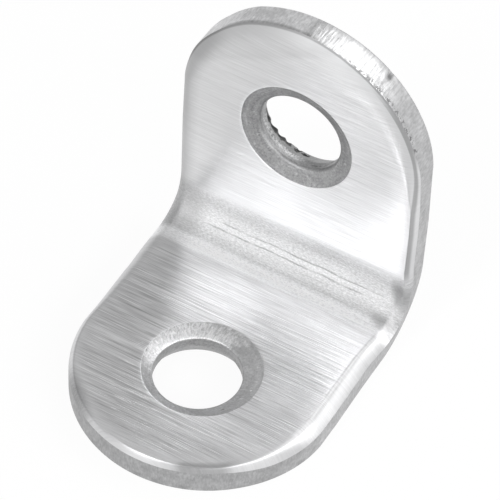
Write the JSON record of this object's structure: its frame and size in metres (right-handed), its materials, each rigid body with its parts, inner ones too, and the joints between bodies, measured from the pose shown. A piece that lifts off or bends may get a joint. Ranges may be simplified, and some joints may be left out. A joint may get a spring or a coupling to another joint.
{
  "type": "angle bracket",
  "caption": "Small L-shaped angle bracket of bent brushed steel strip, with round ends, rolled inner edges and a countersunk screw hole in each leg.",
  "frame": {"origin": "middle of the rectangle that the bracket covers on the ground, in the plane of the lower leg's outer face", "axes": "+X across the strip, along the bend; the lower leg points to -Y; the upright leg stands towards +Z at the +Y side"},
  "size_m": [0.016, 0.0196, 0.0202],
  "materials": {
    "steel": "brushed"
  },
  "bodies": {
    "root": {"bracket": "steel"}
  },
  "joints": []
}
